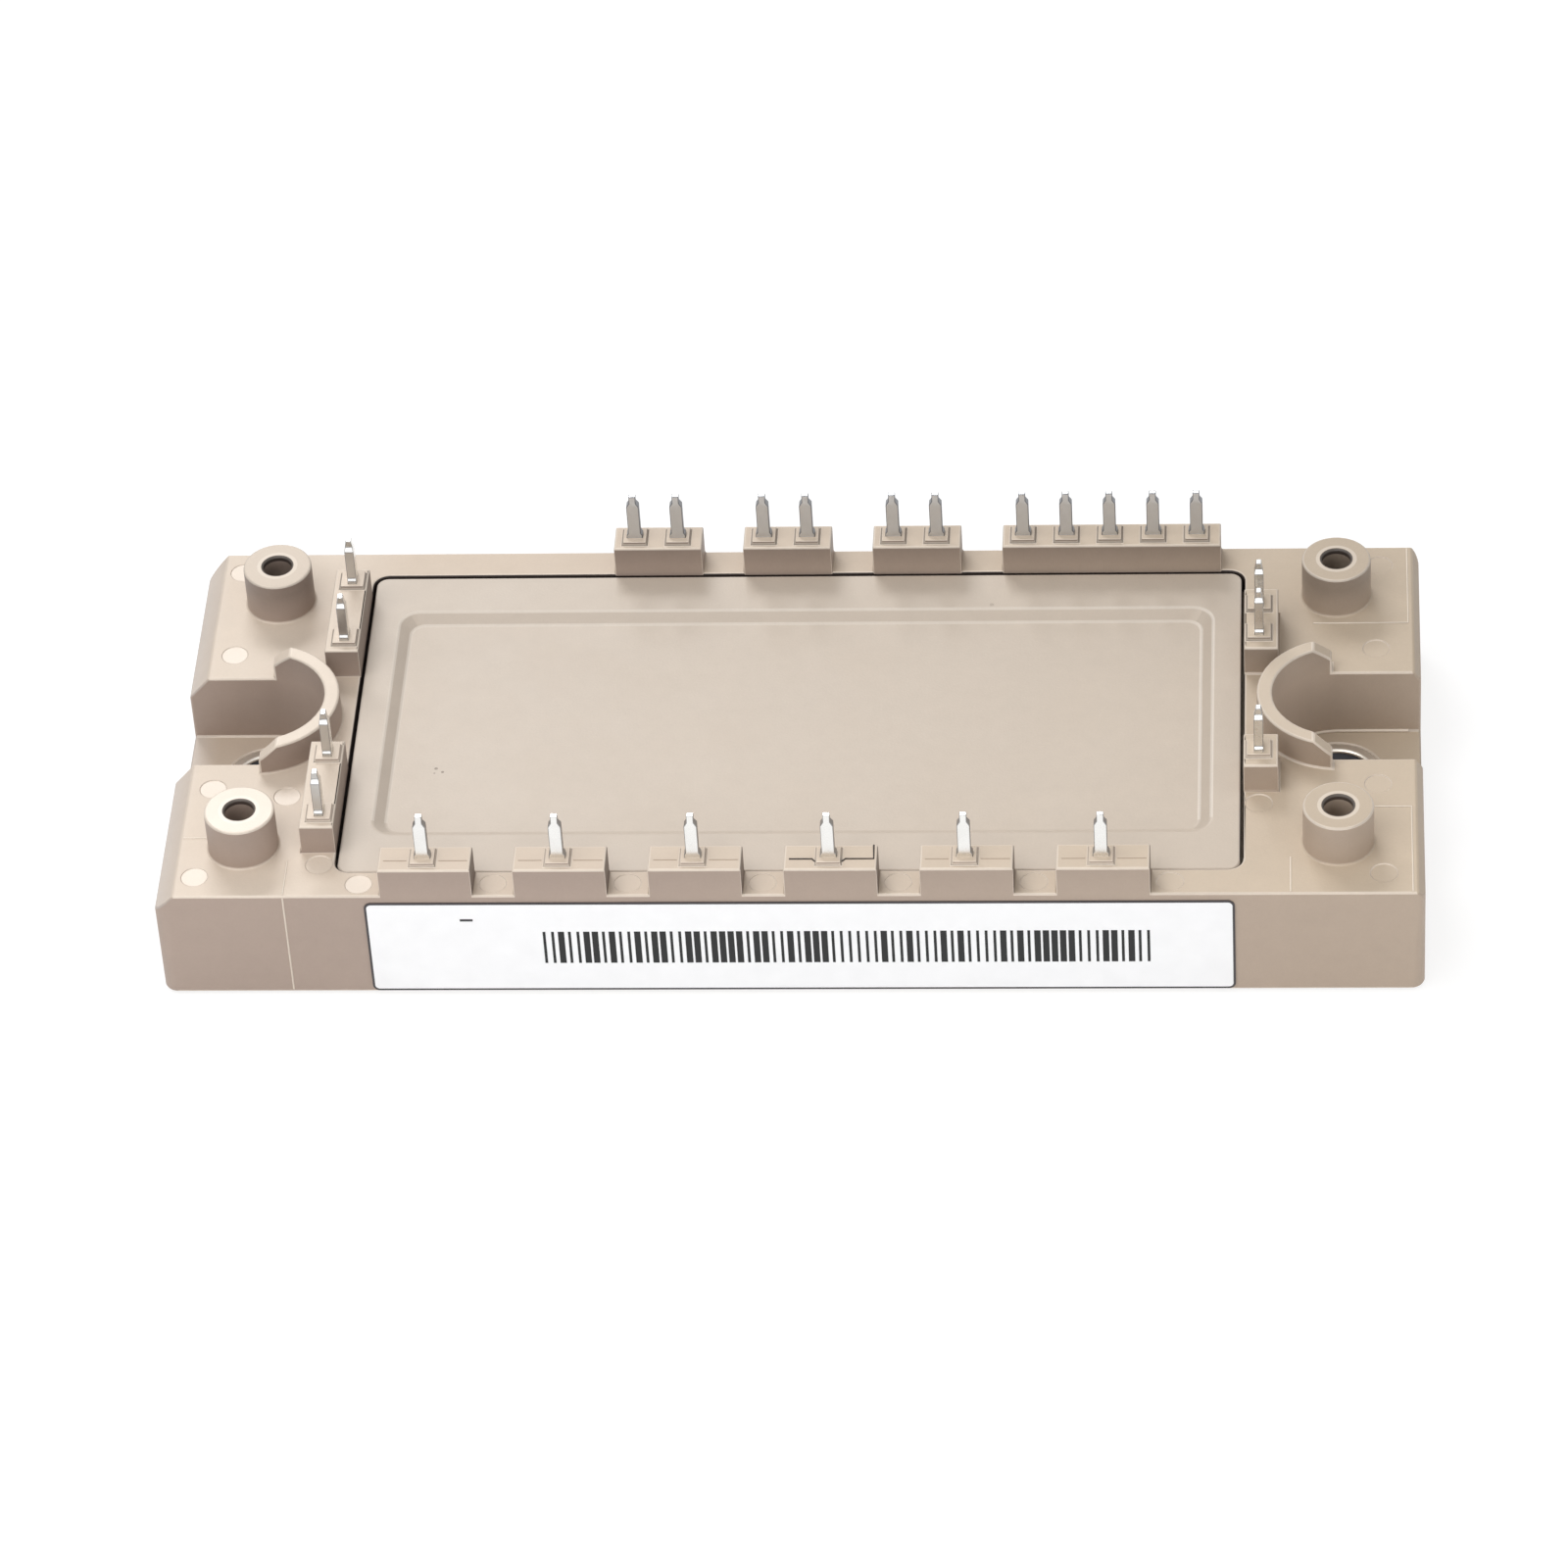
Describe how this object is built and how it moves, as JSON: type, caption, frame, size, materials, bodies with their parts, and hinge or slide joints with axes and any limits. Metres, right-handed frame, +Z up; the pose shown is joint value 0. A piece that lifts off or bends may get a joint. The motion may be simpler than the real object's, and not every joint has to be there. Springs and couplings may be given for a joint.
{
  "type": "igbt module",
  "caption": "Flat power semiconductor module: moulded frame with solder pins on raised blocks, glued lid, board standoffs and screw wells over a metal cooling plate.",
  "frame": {"origin": "middle of the outline, on the underside of the cooling plate", "axes": "+X along the length, to the right when the label side faces the viewer; +Y from the label side to the rear; +Z up, away from the cooling plate"},
  "size_m": [0.1076, 0.0451, 0.0191],
  "materials": {
    "housing_plastic": "moulded beige thermoplastic with glass fibre, slightly rough",
    "lid_plastic": "moulded beige thermoplastic, smooth",
    "label_film": "white printed film",
    "nickel": "nickel-plated copper, satin",
    "tin": "tin-plated copper strip, satin",
    "copper": "bare copper",
    "ceramic": "white alumina",
    "silicon": "metallised silicon",
    "solder": "dull solder",
    "wire_aluminium": "bright drawn wire",
    "gel": "clear soft silicone",
    "silicone_bead": "cured silicone adhesive"
  },
  "bodies": {
    "root": {"base_plate": "nickel", "ceramic_left": "ceramic", "ceramic_right": "ceramic", "diode_wires": "wire_aluminium", "freewheel_diodes": "silicon", "housing": "housing_plastic", "label": "label_film", "lid": "lid_plastic", "lower_copper_left": "copper", "lower_copper_right": "copper", "pin_front_1": "tin", "pin_front_2": "tin", "pin_front_3": "tin", "pin_front_4": "tin", "pin_front_5": "tin", "pin_front_6": "tin", "pin_left_1": "tin", "pin_left_2": "tin", "pin_left_3": "tin", "pin_left_4": "tin", "pin_rear_1": "tin", "pin_rear_10": "tin", "pin_rear_11": "tin", "pin_rear_2": "tin", "pin_rear_3": "tin", "pin_rear_4": "tin", "pin_rear_5": "tin", "pin_rear_6": "tin", "pin_rear_7": "tin", "pin_rear_8": "tin", "pin_rear_9": "tin", "pin_right_1": "tin", "pin_right_2": "tin", "pin_right_3": "tin", "pin_wires": "wire_aluminium", "rectifier_diodes": "silicon", "rectifier_wires": "wire_aluminium", "screw_sleeve_left": "nickel", "screw_sleeve_right": "nickel", "sealing_bead": "silicone_bead", "silicone_gel": "gel", "solder_left": "solder", "solder_right": "solder", "switch_chip_1": "silicon", "switch_chip_2": "silicon", "switch_chip_3": "silicon", "switch_chip_4": "silicon", "switch_chip_5": "silicon", "switch_chip_6": "silicon", "switch_chip_7": "silicon", "switch_wires": "wire_aluminium", "thermistor": "silicon", "upper_copper_left": "copper", "upper_copper_right": "copper"}
  },
  "joints": []
}
